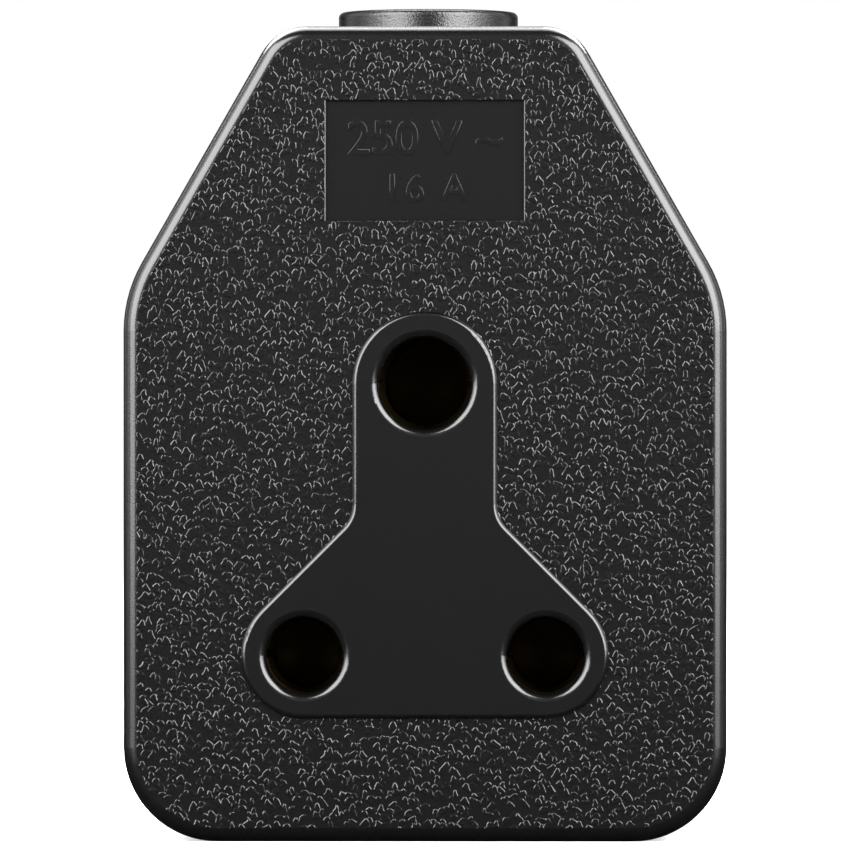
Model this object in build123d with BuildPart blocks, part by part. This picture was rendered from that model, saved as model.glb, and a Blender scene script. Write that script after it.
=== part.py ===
from build123d import *
import os
from math import sqrt

os.makedirs("parts", exist_ok=True)

# A rewirable double-sided socket for round three-pin plugs. One socket faces -Y, the same
# socket faces +Y, and the cord goes in through the bush on top. The origin is under the
# middle of the flat bottom end, +Z is up and +X is to the right of the front face.

# The plug that it takes
line_pin_diameter = 7.05
line_pin_length = 21.1
earth_pin_diameter = 8.7
earth_pin_length = 28.6
line_spacing = 25.4
earth_rise = 28.6

# Housing outline from the front
body_width = 63.5
body_height = 85.8
shoulder_height = 57.6
top_width = 31.2
bottom_corner_radius = 9.9
shoulder_radius = 14.5
top_corner_radius = 5.5
face_edge_radius = 1.5
parting_chamfer = 0.25

# Housing walls and the lap joint between the halves
wall = 2.4
face_thickness = 2.6
rib_thickness = 1.6
rib_height = 7.0
lip_height = 1.5
lip_clearance = 0.1

# Socket face: the raised land round the holes, and the sunk label panel
line_hole_height = 19.6
land_rise = 0.6
land_edge_radius = 0.45
line_lobe_radius = 6.6
earth_lobe_radius = 7.6
land_hollow_radius = 3.5
entry_clearance = 0.5
entry_lip_radius = 0.8
label_width = 20.8
label_height = 12.5
label_drop = 14.15
label_depth = 0.5
label_rim_radius = 0.15

# Contacts
earth_tip_gap = 1.4
tip_clearance = 0.5
pin_clearance = 0.075
sleeve_setback = 9.5
sleeve_wall = 1.0
sleeve_floor = 1.4
sleeve_mouth_chamfer = 0.5
slit_width = 0.9
slit_stop = 3.0
earth_root_wall = 2.2
rivet_radius = 2.0
rivet_head_radius = 2.8
rivet_head_height = 0.6
spring_width = 3.0
spring_thickness = 0.5
spring_setback = 1.5
spring_gap = 2.5

# Bosses round the sleeves and the carrier plates that hold them
boss_clearance = 0.5
boss_wall = 1.4
carrier_thickness = 3.0
carrier_margin = 1.2
carrier_clearance = 0.1
boss_socket_depth = 1.0

# Bus bars and terminals
bar_thickness = 1.2
foot_width = 8.0
web_rise = 5.4
earth_strip_width = 8.0
terminal_side_gap = 1.35
terminal_screw_gap = 0.3
terminal_width = 7.0
terminal_depth = 6.0
terminal_height = 7.0
wire_hole_radius = 1.7
wire_hole_depth = 5.5
terminal_screw_radius = 1.75
terminal_head_radius = 2.4
terminal_head_height = 2.0
thread_clearance = 0.05
slot_width = 0.8
slot_depth = 1.0

# Housing screws and their inserts
lower_screw_side_inset = 8.55
lower_screw_height = 8.4
upper_screw_spread = 1.9
upper_screw_drop = 20.3
insert_wall = 1.0
insert_radius = 2.8
insert_length = 8.0
insert_relief = 2.0
screw_radius = 1.95
screw_play = 0.35
screw_engagement = 7.0
screw_head_radius = 3.5
screw_head_height = 2.4
screw_head_bevel = 0.8
counterbore_play = 0.3
counterbore_depth = 4.0
counterbore_wall = 1.4
head_seat_thickness = 2.4
cross_length = 4.0
cross_width = 0.9
cross_depth = 1.4

# Cord entry
cord_radius = 4.5
cord_play = 0.25
bush_collar_radius = 9.7
bush_collar_height = 2.7
bush_rim_radius = 0.6
bush_mouth_radius = 1.6
bush_neck_radius = 8.2
bush_flange_thickness = 2.0
bush_tail_radius = 7.0
bush_tail_length = 1.5
bush_clearance = 0.05

# Cord clamp
clamp_gap = 1.0
clamp_screw_offset = 10.5
clamp_post_radius = 3.4
clamp_seat = 2.0
clamp_thickness = 4.5
clamp_grip = 0.1
clamp_screw_radius = 1.6
clamp_screw_length = 14.0
clamp_head_radius = 2.9
clamp_head_height = 2.2
saddle_thickness = 3.0
saddle_drop = 1.5

# Depths are measured out from the parting plane towards either face. Two earth pins meet
# nearly tip to tip, and that sets how deep the body is.
land_depth = earth_pin_length + earth_tip_gap
half_depth = land_depth - land_rise
face_inside = half_depth - face_thickness
sleeve_mouth = land_depth - sleeve_setback
line_root = land_depth - line_pin_length - tip_clearance - sleeve_floor
earth_root = bar_thickness / 2
carrier_outside = line_root + carrier_thickness
boss_end = carrier_outside - boss_socket_depth
counterbore_floor = half_depth - counterbore_depth

earth_hole_height = line_hole_height + earth_rise
earth_root_radius = earth_pin_diameter / 2 + pin_clearance + earth_root_wall
line_terminal_reach = body_width / 2 - wall - terminal_side_gap - terminal_width / 2
label_centre = body_height - label_drop
top_inside = body_height - wall
flange_bottom = top_inside - bush_flange_thickness
tail_bottom = flange_bottom - bush_tail_length
clamp_height = tail_bottom - clamp_gap - clamp_post_radius
cord_hole_radius = cord_radius + cord_play
pillar_radius = insert_radius + insert_wall
counterbore_radius = screw_head_radius + counterbore_play

# Edges and corners this close to a place are taken to be at it
near = 0.01

# Each face has its own plane: x runs to the right as one looks at that face, y runs up
# and z comes out of it. Live is on the right of both, so it changes sides inside.
front = Plane.XZ
back = Plane((0, 0, 0), x_dir=(-1, 0, 0), z_dir=(0, 1, 0))
faces_of_body = {"front": front, "back": back}

pole_spots = {
    "earth": (0, earth_hole_height),
    "live": (line_spacing / 2, line_hole_height),
    "neutral": (-line_spacing / 2, line_hole_height),
}
pin_radii = {
    "earth": earth_pin_diameter / 2,
    "live": line_pin_diameter / 2,
    "neutral": line_pin_diameter / 2,
}
lower_screw_offset = body_width / 2 - lower_screw_side_inset
upper_screw_offset = top_width / 2 + upper_screw_spread
upper_screw_height = body_height - upper_screw_drop
screw_spots = [
    (lower_screw_offset, lower_screw_height),
    (-lower_screw_offset, lower_screw_height),
    (upper_screw_offset, upper_screw_height),
    (-upper_screw_offset, upper_screw_height),
]
clamp_spots = [(clamp_screw_offset, clamp_height), (-clamp_screw_offset, clamp_height)]


def sleeve_bore(pole):
    return pin_radii[pole] + pin_clearance


def sleeve_outer(pole):
    return sleeve_bore(pole) + sleeve_wall


def boss_bore(pole):
    return sleeve_outer(pole) + spring_thickness + boss_clearance


def boss_outer(pole):
    return boss_bore(pole) + boss_wall


# The earth terminal's screw clears the top of the carrier plate
carrier_top = earth_hole_height + boss_outer("earth") + carrier_margin
earth_terminal_height = carrier_top + terminal_screw_gap + terminal_head_radius


# The outline of both housing halves
with BuildSketch() as body_outline:
    with BuildLine():
        Polyline(
            (-body_width / 2, 0),
            (body_width / 2, 0),
            (body_width / 2, shoulder_height),
            (top_width / 2, body_height),
            (-top_width / 2, body_height),
            (-body_width / 2, shoulder_height),
            close=True,
        )
    make_face()
    fillet(body_outline.vertices().group_by(Axis.Y)[1], shoulder_radius)
    fillet(body_outline.vertices().group_by(Axis.Y)[-1], top_corner_radius)
    fillet(body_outline.vertices().group_by(Axis.Y)[0], bottom_corner_radius)

# The hollow inside both halves, and the lip on the front half's edge
with BuildSketch() as hollow_outline:
    add(body_outline.sketch)
    offset(amount=-wall)
with BuildSketch() as lip_outline:
    add(body_outline.sketch)
    offset(amount=-(wall + lip_clearance) / 2)
    add(hollow_outline.sketch, mode=Mode.SUBTRACT)

# The outline of the raised land: a lobe round each line hole, flanks that rise from them
# at 45 degrees, and a column up to the lobe round the earth hole
flank_reach = line_lobe_radius / sqrt(2)
flank_top = line_hole_height + line_spacing / 2 + line_lobe_radius * sqrt(2)
hollow_height = flank_top - earth_lobe_radius
with BuildSketch() as land_outline:
    with Locations(pole_spots["live"], pole_spots["neutral"]):
        Circle(line_lobe_radius)
    make_hull()
    with BuildLine():
        Polyline(
            (-line_spacing / 2 - flank_reach, line_hole_height + flank_reach),
            (0, flank_top),
            (line_spacing / 2 + flank_reach, line_hole_height + flank_reach),
            (0, line_hole_height),
            close=True,
        )
    make_face()
    with Locations((0, line_hole_height)):
        Rectangle(2 * earth_lobe_radius, earth_rise, align=(Align.CENTER, Align.MIN))
    with Locations(pole_spots["earth"]):
        Circle(earth_lobe_radius)
    hollows = land_outline.vertices().filter_by_position(
        Axis.Y, hollow_height - near, hollow_height + near
    )
    fillet(hollows, land_hollow_radius)


def half_shell(side):
    """One half of the housing, from the parting plane to its socket face, with no screws."""
    outward = Axis((0, 0, 0), side.z_dir)
    with BuildPart() as shell:
        with BuildSketch(side):
            add(body_outline.sketch)
        extrude(amount=half_depth)
        fillet(shell.faces().sort_by(outward)[-1].edges(), face_edge_radius)
        chamfer(shell.faces().sort_by(outward)[0].edges(), parting_chamfer)
        with BuildSketch(side):
            add(hollow_outline.sketch)
        extrude(amount=face_inside, mode=Mode.SUBTRACT)

        with BuildSketch(side.offset(half_depth)):
            add(land_outline.sketch)
        extrude(amount=land_rise)
        fillet(shell.faces().sort_by(outward)[-1].edges(), land_edge_radius)
        with BuildSketch(side.offset(half_depth)):
            with Locations((0, label_centre)):
                Rectangle(label_width, label_height)
        extrude(amount=-label_depth, mode=Mode.SUBTRACT)
        rim_reach = label_width / 2 + near
        rim_rise = label_height / 2 + near
        on_face = shell.edges().filter_by_position(outward, half_depth - near, half_depth + near)
        across = on_face.filter_by_position(Axis.X, -rim_reach, rim_reach)
        fillet(
            across.filter_by_position(Axis.Z, label_centre - rim_rise, label_centre + rim_rise),
            label_rim_radius,
        )

        # Ribs across the inside of the face, and a boss round each sleeve
        with BuildSketch(side.offset(face_inside - rib_height)):
            with Locations((0, line_hole_height)):
                Rectangle(body_width - wall, rib_thickness)
            with Locations((0, wall / 2)):
                Rectangle(
                    rib_thickness,
                    earth_hole_height - wall / 2,
                    align=(Align.CENTER, Align.MIN),
                )
        extrude(amount=rib_height)
        for pole, spot in pole_spots.items():
            with BuildSketch(side.offset(boss_end)):
                with Locations(spot):
                    Circle(boss_outer(pole))
            extrude(amount=face_inside - boss_end)
        for pole, spot in pole_spots.items():
            with BuildSketch(side.offset(boss_end)):
                with Locations(spot):
                    Circle(boss_bore(pole))
            extrude(amount=face_inside - boss_end, mode=Mode.SUBTRACT)

        # Pin holes, with a rounded lip
        for pole, spot in pole_spots.items():
            entry_radius = pin_radii[pole] + entry_clearance
            with Locations(side.offset(land_depth)):
                with Locations(spot):
                    Hole(entry_radius, depth=land_depth - face_inside)
            rims = shell.edges().filter_by(GeomType.CIRCLE).group_by(outward)[-1]
            rim = rims.sort_by_distance(side.from_local_coords((*spot, land_depth)))[0]
            fillet(rim, entry_lip_radius)
    return shell


def cut_bush_notch():
    """The round seat for the bush's neck, cut through the top wall of the current half."""
    with Locations((0, 0, body_height)):
        Cylinder(
            bush_neck_radius + bush_clearance,
            2 * wall,
            align=(Align.CENTER, Align.CENTER, Align.CENTER),
            mode=Mode.SUBTRACT,
        )


# Front half: a lip that fits inside the back half, four pillars with room for the brass
# inserts, and the posts and saddle of the cord clamp
front_shell = half_shell(front)
with BuildPart() as front_cover:
    add(front_shell.part)
    with BuildSketch(front):
        add(lip_outline.sketch)
    extrude(amount=-lip_height)
    with BuildSketch(front):
        with Locations(*screw_spots):
            Circle(pillar_radius)
    extrude(amount=face_inside)
    with BuildSketch(front):
        with Locations(*screw_spots):
            Circle(insert_radius)
    extrude(amount=insert_length, mode=Mode.SUBTRACT)
    with BuildSketch(front.offset(insert_length)):
        with Locations(*screw_spots):
            Circle(screw_radius + screw_play)
    extrude(amount=insert_relief, mode=Mode.SUBTRACT)
    with BuildSketch(front.offset(-clamp_seat)):
        with Locations(*clamp_spots):
            Circle(clamp_post_radius)
    extrude(amount=clamp_seat + face_inside)
    with BuildSketch(front.offset(saddle_drop)):
        with Locations((0, clamp_height)):
            Rectangle(2 * clamp_screw_offset, saddle_thickness)
    extrude(amount=face_inside - saddle_drop)
    with Locations((0, 0, clamp_height)):
        Cylinder(cord_radius + clamp_grip, 2 * saddle_thickness, mode=Mode.SUBTRACT)
    with BuildSketch(front.offset(-clamp_seat)):
        with Locations(*clamp_spots):
            Circle(clamp_screw_radius + thread_clearance)
    extrude(amount=clamp_screw_length, mode=Mode.SUBTRACT)
    cut_bush_notch()
front_cover.part.label = "front_cover"
export_step(front_cover.part, "parts/front_cover.step")

# Back half: a rebate that takes the front's lip, and four counterbored screw pillars
back_shell = half_shell(back)
with BuildPart() as back_cover:
    add(back_shell.part)
    with BuildSketch(back):
        add(body_outline.sketch)
        offset(amount=-(wall - lip_clearance) / 2)
    extrude(amount=lip_height + lip_clearance, mode=Mode.SUBTRACT)
    with BuildSketch(back):
        with Locations(*screw_spots):
            Circle(pillar_radius)
    extrude(amount=face_inside)
    head_seat_inside = counterbore_floor - head_seat_thickness
    with BuildSketch(back.offset(head_seat_inside)):
        with Locations(*screw_spots):
            Circle(counterbore_radius + counterbore_wall)
    extrude(amount=face_inside - head_seat_inside)
    with Locations(back.offset(half_depth)):
        with Locations(*screw_spots):
            CounterBoreHole(
                screw_radius + screw_play,
                counterbore_radius,
                counterbore_depth,
                depth=half_depth,
            )
    cut_bush_notch()
back_cover.part.label = "back_cover"
export_step(back_cover.part, "parts/back_cover.step")

# Housing screws, put in from the back, and the inserts in the front half
with BuildPart() as housing_screws:
    with BuildSketch(back.offset(-screw_engagement)):
        with Locations(*screw_spots):
            Circle(screw_radius)
    extrude(amount=screw_engagement + counterbore_floor)
    with BuildSketch(back.offset(counterbore_floor)):
        with Locations(*screw_spots):
            Circle(screw_head_radius)
    extrude(amount=screw_head_height)
    chamfer(
        housing_screws.edges().filter_by(GeomType.CIRCLE).group_by(Axis.Y)[-1],
        screw_head_bevel,
    )
    with BuildSketch(back.offset(counterbore_floor + screw_head_height)):
        with Locations(*screw_spots):
            Rectangle(cross_length, cross_width)
            Rectangle(cross_width, cross_length)
    extrude(amount=-cross_depth, mode=Mode.SUBTRACT)
housing_screws.part.label = "housing_screws"
export_step(housing_screws.part, "parts/housing_screws.step")

with BuildPart() as housing_inserts:
    with BuildSketch(front):
        with Locations(*screw_spots):
            Circle(insert_radius)
            Circle(screw_radius + thread_clearance, mode=Mode.SUBTRACT)
    extrude(amount=insert_length)
housing_inserts.part.label = "housing_inserts"
export_step(housing_inserts.part, "parts/housing_inserts.step")

# Cord bush: one turned shape with a collar on the housing, a neck in the top wall and a
# flange and tail inside
with BuildPart() as cord_bush:
    collar_top = body_height + bush_collar_height
    with BuildSketch(Plane.XZ) as bush_profile:
        with BuildLine():
            Polyline(
                (cord_hole_radius, tail_bottom),
                (bush_tail_radius, tail_bottom),
                (bush_tail_radius, flange_bottom),
                (bush_collar_radius, flange_bottom),
                (bush_collar_radius, top_inside),
                (bush_neck_radius, top_inside),
                (bush_neck_radius, body_height),
                (bush_collar_radius, body_height),
                (bush_collar_radius, collar_top),
                (cord_hole_radius, collar_top),
                close=True,
            )
        make_face()
        mouth_corner = bush_profile.vertices().group_by(Axis.Y)[-1].sort_by(Axis.X)[0]
        fillet(mouth_corner, bush_mouth_radius)
        rim_corner = bush_profile.vertices().group_by(Axis.Y)[-1].sort_by(Axis.X)[-1]
        fillet(rim_corner, bush_rim_radius)
    revolve(axis=Axis.Z)
cord_bush.part.label = "cord_bush"
export_step(cord_bush.part, "parts/cord_bush.step")

# Cord clamp: a bar with an arch over the cord, screwed down on the posts
with BuildPart() as cord_clamp:
    with BuildSketch(back.offset(clamp_seat)):
        with Locations((0, clamp_height)):
            SlotCenterToCenter(2 * clamp_screw_offset, 2 * clamp_post_radius)
        with Locations(*clamp_spots):
            Circle(clamp_screw_radius + screw_play, mode=Mode.SUBTRACT)
    extrude(amount=clamp_thickness)
    with Locations((0, 0, clamp_height)):
        Cylinder(cord_radius + clamp_grip, 4 * clamp_post_radius, mode=Mode.SUBTRACT)
cord_clamp.part.label = "cord_clamp"
export_step(cord_clamp.part, "parts/cord_clamp.step")

with BuildPart() as clamp_screws:
    clamp_top = clamp_seat + clamp_thickness
    with BuildSketch(back.offset(clamp_top)):
        with Locations(*clamp_spots):
            Circle(clamp_screw_radius)
    extrude(amount=-clamp_screw_length)
    with BuildSketch(back.offset(clamp_top)):
        with Locations(*clamp_spots):
            Circle(clamp_head_radius)
    extrude(amount=clamp_head_height)
    with BuildSketch(back.offset(clamp_top + clamp_head_height)):
        with Locations(*clamp_spots):
            Rectangle(2 * clamp_head_radius, slot_width)
    extrude(amount=-slot_depth, mode=Mode.SUBTRACT)
clamp_screws.part.label = "clamp_screws"
export_step(clamp_screws.part, "parts/clamp_screws.step")

# Carrier plates: one behind each face, pressed against the ends of its three bosses
for face_name, side in faces_of_body.items():
    with BuildPart() as carrier:
        with BuildSketch(side.offset(line_root)):
            for pole, spot in pole_spots.items():
                with Locations(spot):
                    Circle(boss_outer(pole) + carrier_margin)
            make_hull()
        extrude(amount=carrier_thickness)
        with BuildSketch(side.offset(boss_end)):
            for pole, spot in pole_spots.items():
                with Locations(spot):
                    Circle(boss_outer(pole) + carrier_clearance)
        extrude(amount=boss_socket_depth, mode=Mode.SUBTRACT)
        with BuildSketch(side.offset(line_root)):
            for pole, spot in pole_spots.items():
                with Locations(spot):
                    Circle(sleeve_outer(pole) + carrier_clearance)
        extrude(amount=carrier_thickness, mode=Mode.SUBTRACT)
    carrier.part.label = f"carrier_{face_name}"
    export_step(carrier.part, f"parts/carrier_{face_name}.step")


def sleeve_profile(pole):
    """Half of a sleeve's section: x is out from the pin's axis, y is depth."""
    bore = sleeve_bore(pole)
    outer = sleeve_outer(pole)
    barrel = [
        (outer, sleeve_mouth),
        (bore + sleeve_mouth_chamfer, sleeve_mouth),
        (bore, sleeve_mouth - sleeve_mouth_chamfer),
    ]
    if pole == "earth":
        return [
            (bore, earth_root),
            (earth_root_radius, earth_root),
            (earth_root_radius, line_root),
            (outer, line_root),
            *barrel,
        ]
    rivet_end = line_root - bar_thickness
    return [
        (0, rivet_end - rivet_head_height),
        (rivet_head_radius, rivet_end - rivet_head_height),
        (rivet_head_radius, rivet_end),
        (rivet_radius, rivet_end),
        (rivet_radius, line_root),
        (outer, line_root),
        *barrel,
        (bore, line_root + sleeve_floor),
        (0, line_root + sleeve_floor),
    ]


# Sleeves: turned brass, slit from the mouth so that they grip the pin. The line sleeves
# are riveted through a bar's foot, and the earth sleeves stand on either side of their bar.
for face_name, side in faces_of_body.items():
    for pole, spot in pole_spots.items():
        pin_foot = side.from_local_coords((*spot, 0))
        through_pin = Plane(pin_foot, x_dir=side.x_dir, z_dir=side.x_dir.cross(side.z_dir))
        with BuildPart() as sleeve:
            with BuildSketch(through_pin):
                with BuildLine():
                    Polyline(*sleeve_profile(pole), close=True)
                make_face()
            revolve(axis=Axis(pin_foot, side.z_dir))
            slit_bottom = line_root + sleeve_floor + slit_stop
            with BuildSketch(side.offset(slit_bottom)):
                with Locations(spot):
                    Rectangle(3 * sleeve_outer(pole), slit_width)
            extrude(amount=sleeve_mouth - slit_bottom, mode=Mode.SUBTRACT)
        sleeve.part.label = f"{pole}_sleeve_{face_name}"
        export_step(sleeve.part, f"parts/{pole}_sleeve_{face_name}.step")

        # Spring ring: steel strip rolled round the sleeve near its mouth
        with BuildPart() as spring:
            spring_inner = sleeve_outer(pole)
            spring_outer = spring_inner + spring_thickness
            with BuildSketch(side.offset(sleeve_mouth - spring_setback)):
                with Locations(spot):
                    Circle(spring_outer)
                    Circle(spring_inner, mode=Mode.SUBTRACT)
                    Rectangle(
                        spring_gap,
                        2 * spring_outer,
                        align=(Align.CENTER, Align.MIN),
                        mode=Mode.SUBTRACT,
                    )
            extrude(amount=-spring_width)
        spring.part.label = f"{pole}_spring_{face_name}"
        export_step(spring.part, f"parts/{pole}_spring_{face_name}.step")

# Live and neutral bars: folded brass strip. A foot stands behind each sleeve, a web
# crosses the body above or below the sleeves' axis, and a tail runs out to the terminal.
tail_end = line_terminal_reach + terminal_width / 2
web_bottoms = {
    "live": line_hole_height + web_rise,
    "neutral": line_hole_height - web_rise - bar_thickness,
}
for pole in ("live", "neutral"):
    hole_x, hole_z = pole_spots[pole]
    outward_x = 1 if hole_x > 0 else -1
    web_bottom = web_bottoms[pole]
    web_side = Align.MIN if web_bottom > hole_z else Align.MAX
    with BuildPart() as bar:
        with BuildSketch(Plane.XY.offset(web_bottom)):
            with BuildLine():
                Polyline(
                    (hole_x - foot_width / 2, -line_root),
                    (hole_x + foot_width / 2, -line_root),
                    (-hole_x + foot_width / 2, line_root),
                    (-hole_x - foot_width / 2, line_root),
                    close=True,
                )
            make_face()
            with BuildLine():
                Polyline(
                    (hole_x, -line_root),
                    (outward_x * tail_end, -line_root),
                    (outward_x * tail_end, -line_root + terminal_depth),
                    (hole_x, -line_root + terminal_depth),
                    close=True,
                )
            make_face()
        extrude(amount=bar_thickness)
        for side in faces_of_body.values():
            with BuildSketch(side.offset(line_root - bar_thickness)):
                with Locations((hole_x, hole_z)):
                    Circle(foot_width / 2)
                    Rectangle(
                        foot_width,
                        web_rise + bar_thickness,
                        align=(Align.CENTER, web_side),
                    )
                    Circle(rivet_radius, mode=Mode.SUBTRACT)
            extrude(amount=bar_thickness)
    bar.part.label = f"{pole}_bar"
    export_step(bar.part, f"parts/{pole}_bar.step")

# Earth bar: a flat brass strip between the two earth sleeves, up to its terminal
with BuildPart() as earth_bar:
    with BuildSketch(back.offset(-earth_root)):
        with Locations(pole_spots["earth"]):
            Circle(earth_root_radius)
            Rectangle(
                earth_strip_width,
                earth_terminal_height + terminal_height / 2 - earth_hole_height,
                align=(Align.CENTER, Align.MIN),
            )
    extrude(amount=bar_thickness)
earth_bar.part.label = "earth_bar"
export_step(earth_bar.part, "parts/earth_bar.step")

# Terminals: a brass block on each bar, with a hole for the core from above and a clamping
# screw from the back. Each block's place is the middle of its bottom, at its inner face.
line_block_face = -line_root
terminal_places = {
    "live": (line_terminal_reach, line_block_face, web_bottoms["live"] + bar_thickness),
    "neutral": (-line_terminal_reach, line_block_face, web_bottoms["neutral"] + bar_thickness),
    "earth": (0, earth_root, earth_terminal_height - terminal_height / 2),
}
for pole, (block_x, block_y, block_z) in terminal_places.items():
    screw_plane = Plane((block_x, block_y + terminal_depth, block_z + terminal_height / 2),
                        x_dir=(-1, 0, 0), z_dir=(0, 1, 0))
    with BuildPart() as terminal:
        with BuildSketch(Plane.XY.offset(block_z)):
            with Locations((block_x, block_y + terminal_depth / 2)):
                Rectangle(terminal_width, terminal_depth)
        extrude(amount=terminal_height)
        with Locations((block_x, block_y + terminal_depth / 2, block_z + terminal_height)):
            Hole(wire_hole_radius, depth=wire_hole_depth)
        with Locations(screw_plane):
            Hole(terminal_screw_radius + thread_clearance, depth=terminal_depth / 2)
    terminal.part.label = f"{pole}_terminal"
    export_step(terminal.part, f"parts/{pole}_terminal.step")

    with BuildPart() as terminal_screw:
        with BuildSketch(screw_plane):
            Circle(terminal_screw_radius)
        extrude(amount=-terminal_depth / 2)
        with BuildSketch(screw_plane):
            Circle(terminal_head_radius)
        extrude(amount=terminal_head_height)
        with BuildSketch(screw_plane.offset(terminal_head_height)):
            Rectangle(2 * terminal_head_radius, slot_width)
        extrude(amount=-slot_depth, mode=Mode.SUBTRACT)
    terminal_screw.part.label = f"{pole}_terminal_screw"
    export_step(terminal_screw.part, f"parts/{pole}_terminal_screw.step")
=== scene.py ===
import bpy
import math
from mathutils import Matrix, Vector


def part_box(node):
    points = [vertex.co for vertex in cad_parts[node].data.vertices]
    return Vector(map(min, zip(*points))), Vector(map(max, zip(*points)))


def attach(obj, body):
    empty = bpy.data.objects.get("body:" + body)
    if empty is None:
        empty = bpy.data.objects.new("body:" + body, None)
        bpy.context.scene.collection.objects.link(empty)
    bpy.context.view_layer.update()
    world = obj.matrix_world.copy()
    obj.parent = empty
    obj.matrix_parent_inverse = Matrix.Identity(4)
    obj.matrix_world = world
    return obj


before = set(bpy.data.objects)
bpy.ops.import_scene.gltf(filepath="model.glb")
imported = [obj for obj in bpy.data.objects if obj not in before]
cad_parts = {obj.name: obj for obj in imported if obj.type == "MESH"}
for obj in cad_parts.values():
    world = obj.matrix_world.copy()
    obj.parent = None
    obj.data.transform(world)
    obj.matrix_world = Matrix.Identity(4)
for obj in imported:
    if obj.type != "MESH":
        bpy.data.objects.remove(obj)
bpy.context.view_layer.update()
scene = bpy.context.scene
scene.view_settings.view_transform = "Standard"
MM = 0.001


# The studio camera. It looks square at the front socket face from about a metre away with a
# long lens, so the sides hardly show. It stands a little to the right of the middle and turns
# back to it, which moves the cord bush aside as in the photograph.
camera_distance = 950 * MM
camera_height = 43.84 * MM
camera_aside = 12.5 * MM
rim_behind_land = 2.1 * MM
rim_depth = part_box("front_cover")[0].y + rim_behind_land
width_in_view = 89.47 * MM
camera_data = bpy.data.cameras.new("studio_camera")
camera_data.sensor_width = 36.0
camera_data.lens = camera_data.sensor_width * camera_distance / width_in_view
camera_data.clip_start = 0.05
camera_data.clip_end = 20.0
camera = bpy.data.objects.new("studio_camera", camera_data)
camera.location = (camera_aside, rim_depth - camera_distance, camera_height)
camera.rotation_euler = (math.radians(90), 0, math.atan(camera_aside / camera_distance))
scene.collection.objects.link(camera)
scene.camera = camera


def srgb(code):
    """An sRGB hex value as linear colour."""
    parts = [int(code[i:i + 2], 16) / 255 for i in (1, 3, 5)]
    linear = [p / 12.92 if p <= 0.04045 else ((p + 0.055) / 1.055) ** 2.4 for p in parts]
    return (*linear, 1.0)


def add_node(tree, kind, settings=None, **links):
    """A node with its settings, and its inputs set to values or linked to sockets.

    An input goes by its name, with _ for each space, or by its number after an i.
    """
    node = tree.nodes.new(kind)
    for name, value in (settings or {}).items():
        setattr(node, name, value)
    for name, value in links.items():
        numbered = name[0] == "i" and name[1:].isdigit()
        socket = node.inputs[int(name[1:]) if numbered else name.replace("_", " ")]
        if isinstance(value, bpy.types.NodeSocket):
            tree.links.new(value, socket)
        else:
            socket.default_value = value
    return node


def empty_material(name):
    """A material with no nodes yet, and its node tree."""
    material = bpy.data.materials.new(name)
    material.use_nodes = True
    material.node_tree.nodes.clear()
    return material, material.node_tree


# The studio floor: a sheet of white paper that keeps the object's shadow close by. Further
# out the camera sees it burn out to the same white as the room, as in a product photograph.
# Reflections see it dark, which gives the plastic its deep tone near the floor.
paper_half = 3.0
shadow_reach = 60 * MM
white_reach = 130 * MM
glow_near = 0.45
paper_mesh = bpy.data.meshes.new("studio_floor")
paper_mesh.from_pydata(
    [(-paper_half, -paper_half, 0), (paper_half, -paper_half, 0),
     (paper_half, paper_half, 0), (-paper_half, paper_half, 0)], [], [(0, 1, 2, 3)])
floor = bpy.data.objects.new("studio_floor", paper_mesh)
scene.collection.objects.link(floor)
paper, tree = empty_material("white_studio_paper")
sheet = add_node(tree, "ShaderNodeBsdfDiffuse", Color=srgb("#d8d8d8"))
seen_by = add_node(tree, "ShaderNodeLightPath")
place = add_node(tree, "ShaderNodeTexCoord")
reach = add_node(tree, "ShaderNodeVectorMath", {"operation": "LENGTH"},
                 i0=place.outputs["Object"])
burn = add_node(tree, "ShaderNodeMapRange", {"interpolation_type": "SMOOTHSTEP"},
                Value=reach.outputs["Value"], From_Min=shadow_reach, From_Max=white_reach,
                To_Min=glow_near, To_Max=1.0)
lift = add_node(tree, "ShaderNodeMath", {"operation": "MULTIPLY"},
                i0=seen_by.outputs["Is Camera Ray"], i1=burn.outputs[0])
glow = add_node(tree, "ShaderNodeEmission", Color=(1, 1, 1, 1), Strength=lift.outputs[0])
lit_sheet = add_node(tree, "ShaderNodeAddShader", i0=sheet.outputs[0], i1=glow.outputs[0])
dark_sheet = add_node(tree, "ShaderNodeBsdfDiffuse", Color=srgb("#101010"))
surface = add_node(tree, "ShaderNodeMixShader", i0=seen_by.outputs["Is Glossy Ray"],
                   i1=lit_sheet.outputs[0], i2=dark_sheet.outputs[0])
add_node(tree, "ShaderNodeOutputMaterial", Surface=surface.outputs[0])
paper_mesh.materials.append(paper)

# The room: white behind the object for the camera, and dim for everything else, so that
# only the lamps light the object
room_dim = 0.02
room_white = 1.0
room = bpy.data.worlds.new("studio_room")
scene.world = room
room.use_nodes = True
tree = room.node_tree
tree.nodes.clear()
seen_by = add_node(tree, "ShaderNodeLightPath")
strength = add_node(tree, "ShaderNodeMapRange", Value=seen_by.outputs["Is Camera Ray"],
                    To_Min=room_dim, To_Max=room_white)
sky = add_node(tree, "ShaderNodeBackground", Color=(1, 1, 1, 1), Strength=strength.outputs[0])
add_node(tree, "ShaderNodeOutputWorld", Surface=sky.outputs[0])


# What some lamps light. The panels stay off the brass deep in the pin holes, and the high
# lamps behind stay off the bush, whose rim is dark in the photograph.
skin_pieces = bpy.data.collections.new("skin_pieces")
for name in ("front_cover", "back_cover", "cord_bush", "housing_screws"):
    skin_pieces.objects.link(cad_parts[name])
all_but_bush = bpy.data.collections.new("all_but_bush")
for name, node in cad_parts.items():
    if name != "cord_bush":
        all_but_bush.objects.link(node)
all_but_bush.objects.link(floor)


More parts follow.
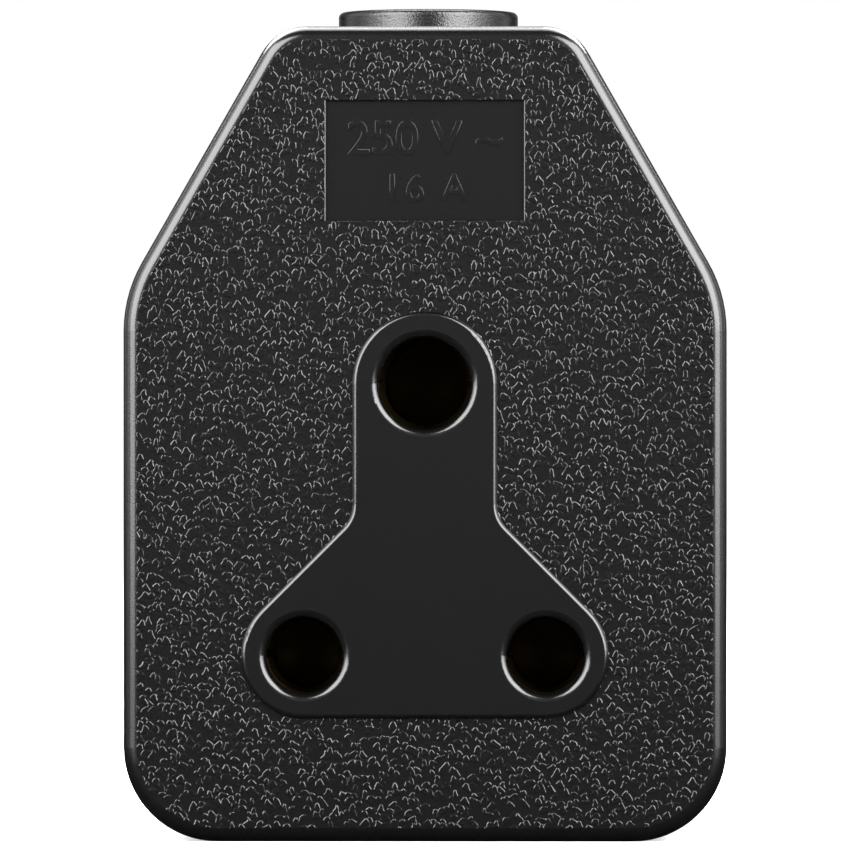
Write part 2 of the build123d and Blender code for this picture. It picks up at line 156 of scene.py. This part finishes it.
def softbox(name, direction, width, height, radiance, distance=1.0, lights=None):
    """A rectangular area lamp aimed at the middle of the object, and what it lights."""
    lamp = bpy.data.lights.new(name, "AREA")
    lamp.shape = "RECTANGLE"
    lamp.size = width
    lamp.size_y = height
    lamp.energy = radiance * width * height * math.pi
    holder = bpy.data.objects.new(name, lamp)
    aim = Vector((0, 0, camera_height))
    holder.location = aim + Vector(direction).normalized() * distance
    holder.rotation_euler = (aim - holder.location).to_track_quat("-Z", "Y").to_euler()
    holder.visible_camera = False
    if lights:
        holder.light_linking.receiver_collection = lights
    scene.collection.objects.link(holder)


# The lamps. A tall softbox at each front corner fades towards the side through a dimmer strip
# and a dim box. Behind, the big lamps hang high and what stands low is dim, so the edges seen
# against the white stay dark. Two wide panels, low at the bottom, tone the flat faces.
for side, x, radiance in (("right", 1, 16.5), ("left", -1, 14.5)):
    softbox(f"softbox_{side}", (0.61 * x, -0.69, 0.40), 0.76, 0.9, radiance)
    softbox(f"strip_{side}", (0.88 * x, -0.27, 0.42), 0.3, 0.9, radiance / 3)
    softbox(f"box_{side}", (x, 0, 0.38), 0.5, 0.84, 1.4)
    softbox(f"back_strip_{side}", (0.82 * x, 0.45, 0.42), 0.3, 0.9, 1.5)
    softbox(f"high_back_{side}", (0.5 * x, 0.5, 0.85), 0.8, 0.6, 18, lights=all_but_bush)
softbox("softbox_top", (0, 0.25, 0.9), 0.9, 0.55, 9)
softbox("softbox_top_back", (0, 0.9, 0.9), 0.6, 0.7, 2.0, lights=all_but_bush)
for facing, y in (("front", -1), ("back", 1)):
    softbox(f"panel_{facing}", (0, 1.65 * y, 0.386), 1.6, 1.0, 0.25, distance=1.69,
            lights=skin_pieces)


def cover(names, material):
    """The material on every slot of the named nodes."""
    for name in names:
        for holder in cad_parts[name].material_slots:
            holder.material = material


# Housing halves: moulded black thermoplastic. The two socket faces have a leather grain of
# small islands, etched into the mould, which shows as short bright arcs on their upper
# edges. The rounded edges, the raised land and the label panel have only a faint bloom.
face_depth = 29.4 * MM
face_tolerance = 0.001 * MM
face_fade = 0.004 * MM
island_pitch = 0.78 * MM
island_scatter = 0.9
island_stretch = 1.3
island_turn = math.radians(28)
island_wobble = 1.1 * MM
wobble_pitch = 1.4 * MM
# The flank of an island starts and ends at these shares of the pitch from its middle
flank_start = 0.325
flank_end = 0.425
island_relief = 0.037 * MM
lowest_island = 0.2
bloom_pitch = 0.16 * MM
bloom_relief = 0.004 * MM
housing_plastic, tree = empty_material("black_moulded_plastic_leather_grain")
place = add_node(tree, "ShaderNodeTexCoord")
where = add_node(tree, "ShaderNodeSeparateXYZ", Vector=place.outputs["Object"])
depth = add_node(tree, "ShaderNodeMath", {"operation": "ABSOLUTE"}, i0=where.outputs["Y"])
off_face = add_node(tree, "ShaderNodeMath", {"operation": "SUBTRACT"},
                    i0=depth.outputs[0], i1=face_depth)
off_face = add_node(tree, "ShaderNodeMath", {"operation": "ABSOLUTE"}, i0=off_face.outputs[0])
on_face = add_node(tree, "ShaderNodeMapRange", Value=off_face.outputs[0],
                   From_Min=face_tolerance, From_Max=face_fade, To_Min=1.0, To_Max=0.0)
flat_place = add_node(tree, "ShaderNodeCombineXYZ", X=where.outputs["X"], Y=where.outputs["Z"])
wobble = add_node(tree, "ShaderNodeTexNoise", {"noise_dimensions": "2D"},
                  Vector=flat_place.outputs[0], Scale=1 / wobble_pitch, Detail=1.0)
wobble = add_node(tree, "ShaderNodeVectorMath", {"operation": "SUBTRACT"},
                  i0=wobble.outputs["Color"], i1=(0.5, 0.5, 0.5))
wobble = add_node(tree, "ShaderNodeVectorMath", {"operation": "SCALE"},
                  i0=wobble.outputs[0], Scale=island_wobble)
spread = add_node(tree, "ShaderNodeVectorMath", {"operation": "ADD"},
                  i0=flat_place.outputs[0], i1=wobble.outputs[0])
spread = add_node(tree, "ShaderNodeVectorMath", {"operation": "MULTIPLY"},
                  i0=spread.outputs[0], i1=(1.0, 1 / island_stretch, 1.0))
spread = add_node(tree, "ShaderNodeVectorRotate", {"rotation_type": "Z_AXIS"},
                  Vector=spread.outputs[0], Angle=island_turn)
island = add_node(tree, "ShaderNodeTexVoronoi", {"voronoi_dimensions": "2D", "feature": "F1"},
                  Vector=spread.outputs[0], Scale=1 / island_pitch, Randomness=island_scatter)
flank = add_node(tree, "ShaderNodeMapRange", {"interpolation_type": "SMOOTHSTEP"},
                 Value=island.outputs["Distance"], From_Min=flank_start, From_Max=flank_end,
                 To_Min=1.0, To_Max=0.0)
chance = add_node(tree, "ShaderNodeSeparateXYZ", Vector=island.outputs["Color"])
rise = add_node(tree, "ShaderNodeMapRange", Value=chance.outputs["X"],
                To_Min=lowest_island, To_Max=1.0)
relief = add_node(tree, "ShaderNodeMath", {"operation": "MULTIPLY"},
                  i0=flank.outputs[0], i1=rise.outputs[0])
relief = add_node(tree, "ShaderNodeMath", {"operation": "MULTIPLY"},
                  i0=relief.outputs[0], i1=on_face.outputs[0])
grain = add_node(tree, "ShaderNodeBump", Strength=1.0, Distance=island_relief,
                 Height=relief.outputs[0])
bloom = add_node(tree, "ShaderNodeTexNoise", {"noise_dimensions": "3D"},
                 Vector=place.outputs["Object"], Scale=1 / bloom_pitch, Detail=1.0)
bloomed = add_node(tree, "ShaderNodeBump", Strength=1.0, Distance=bloom_relief,
                   Height=bloom.outputs[0], Normal=grain.outputs[0])
skin = add_node(tree, "ShaderNodeBsdfPrincipled", Base_Color=srgb("#040404"), Roughness=0.2,
                IOR=1.5, Normal=bloomed.outputs[0])
add_node(tree, "ShaderNodeOutputMaterial", Surface=skin.outputs[0])
cover(("front_cover", "back_cover"), housing_plastic)

# Rating on each label panel: low raised letters of the housing's own plastic, from the same
# mould, so they show only as a faint relief. They give volts and amperes and nothing else.
label_floor = 28.9 * MM
volts = ("v", "250 V ~", 3.7 * MM, 72.3 * MM, 1.0)
amperes = ("a", "16 A", 3.0 * MM, 67.35 * MM, 1.15)
letter_rise = 0.12 * MM
letter_edge = 0.026 * MM
letter_weight = 0.035 * MM
cap_share_of_size = 0.729
for facing, turn in (("front", 0), ("back", 180)):
    for unit, words, cap_height, base_height, spacing in (volts, amperes):
        curve = bpy.data.curves.new("rating_line", "FONT")
        curve.body = words
        curve.align_x = "CENTER"
        curve.space_character = spacing
        curve.size = cap_height / cap_share_of_size
        curve.offset = letter_weight
        curve.extrude = letter_rise - letter_edge
        curve.bevel_depth = letter_edge
        curve.bevel_resolution = 2
        draft = bpy.data.objects.new("rating_line", curve)
        letters = bpy.data.meshes.new_from_object(draft)
        bpy.data.objects.remove(draft)
        letters.name = f"{facing}_rating_{unit}"
        upright = Matrix.Rotation(math.radians(90), 4, "X")
        on_panel = Matrix.Translation((0, -label_floor, base_height))
        letters.transform(Matrix.Rotation(math.radians(turn), 4, "Z") @ on_panel @ upright)
        letters.materials.clear()
        letters.materials.append(housing_plastic)
        rating = bpy.data.objects.new(letters.name, letters)
        scene.collection.objects.link(rating)
        skin_pieces.objects.link(rating)
        all_but_bush.objects.link(rating)
        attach(rating, "root")

# Cord bush: the same plastic, held between the halves by its neck. Its mould was spark
# eroded, so its highlights break up into a fine even speckle.
speckle_pitch = 0.22 * MM
speckle_relief = 0.035 * MM
bush_plastic, tree = empty_material("black_moulded_plastic_spark_eroded")
place = add_node(tree, "ShaderNodeTexCoord")
speckle = add_node(tree, "ShaderNodeTexNoise", {"noise_dimensions": "3D"},
                   Vector=place.outputs["Object"], Scale=1 / speckle_pitch, Detail=2.0)
bump = add_node(tree, "ShaderNodeBump", Strength=1.0, Distance=speckle_relief,
                Height=speckle.outputs[0])
skin = add_node(tree, "ShaderNodeBsdfPrincipled", Base_Color=srgb("#060606"), Roughness=0.26,
                IOR=1.5, Normal=bump.outputs[0])
add_node(tree, "ShaderNodeOutputMaterial", Surface=skin.outputs[0])
cover(("cord_bush",), bush_plastic)

# Carrier plates and cord clamp: black phenolic, pressed hot in a polished mould. It is
# harder and flatter than the housing, and its sheen varies a little with the flow.
flow_pitch = 2.5 * MM
phenolic, tree = empty_material("black_phenolic_moulded")
place = add_node(tree, "ShaderNodeTexCoord")
flow = add_node(tree, "ShaderNodeTexNoise", {"noise_dimensions": "3D"},
                Vector=place.outputs["Object"], Scale=1 / flow_pitch, Detail=3.0)
sheen = add_node(tree, "ShaderNodeMapRange", Value=flow.outputs[0], To_Min=0.36, To_Max=0.46)
skin = add_node(tree, "ShaderNodeBsdfPrincipled", Base_Color=srgb("#0e0d0c"),
                Roughness=sheen.outputs[0], IOR=1.6)
add_node(tree, "ShaderNodeOutputMaterial", Surface=skin.outputs[0])
cover(("carrier_front", "carrier_back", "cord_clamp"), phenolic)

# Sleeves, bars, terminals and inserts: turned and pressed brass, with darker patches a few
# millimetres across. Its whole colour is darkened as painted shade for the deep pin holes, so
# that the holes look black.
patch_pitch = 3.0 * MM
brass, tree = empty_material("brass_painted_dark_for_hole_shade")
place = add_node(tree, "ShaderNodeTexCoord")
tarnish = add_node(tree, "ShaderNodeTexNoise", {"noise_dimensions": "3D"},
                   Vector=place.outputs["Object"], Scale=1 / patch_pitch, Detail=3.0)
# Both brass tones are painted dark as shade for the pin holes; the noise picks random patches
# between them
tone = add_node(tree, "ShaderNodeMix", {"data_type": "RGBA"}, i0=tarnish.outputs[0],
                i6=srgb("#4c3d22"), i7=srgb("#2f2615"))
dullness = add_node(tree, "ShaderNodeMapRange", Value=tarnish.outputs[0],
                    To_Min=0.30, To_Max=0.45)
metal = add_node(tree, "ShaderNodeBsdfPrincipled", Base_Color=tone.outputs[2], Metallic=1.0,
                 Roughness=dullness.outputs[0])
add_node(tree, "ShaderNodeOutputMaterial", Surface=metal.outputs[0])
poles = ("earth", "live", "neutral")
for pole in poles:
    cover((f"{pole}_sleeve_front", f"{pole}_sleeve_back", f"{pole}_bar", f"{pole}_terminal"),
          brass)
cover(("housing_inserts",), brass)

# Spring rings: spring steel strip rolled round each sleeve, where it grips by itself. Its
# heat treatment has blued it unevenly.
temper_pitch = 2.0 * MM
spring_steel, tree = empty_material("spring_steel_blued")
place = add_node(tree, "ShaderNodeTexCoord")
temper = add_node(tree, "ShaderNodeTexNoise", {"noise_dimensions": "3D"},
                  Vector=place.outputs["Object"], Scale=1 / temper_pitch, Detail=2.0)
tone = add_node(tree, "ShaderNodeMix", {"data_type": "RGBA"}, i0=temper.outputs[0],
                i6=srgb("#4a4d55"), i7=srgb("#3a3f4a"))
metal = add_node(tree, "ShaderNodeBsdfPrincipled", Base_Color=tone.outputs[2], Metallic=1.0,
                 Roughness=0.32)
add_node(tree, "ShaderNodeOutputMaterial", Surface=metal.outputs[0])
for pole in poles:
    cover((f"{pole}_spring_front", f"{pole}_spring_back"), spring_steel)

# Screws: steel with bright zinc plating, which has a faint mottle. Four hold the halves
# together from the back, two hold the cord clamp, and one clamps each core.
mottle_pitch = 0.8 * MM
zinc, tree = empty_material("steel_zinc_plated")
place = add_node(tree, "ShaderNodeTexCoord")
mottle = add_node(tree, "ShaderNodeTexNoise", {"noise_dimensions": "3D"},
                  Vector=place.outputs["Object"], Scale=1 / mottle_pitch, Detail=3.0)
dullness = add_node(tree, "ShaderNodeMapRange", Value=mottle.outputs[0],
                    To_Min=0.24, To_Max=0.38)
metal = add_node(tree, "ShaderNodeBsdfPrincipled", Base_Color=srgb("#b9bcc0"), Metallic=1.0,
                 Roughness=dullness.outputs[0])
add_node(tree, "ShaderNodeOutputMaterial", Surface=metal.outputs[0])
cover(("housing_screws", "clamp_screws"), zinc)
for pole in poles:
    cover((f"{pole}_terminal_screw",), zinc)
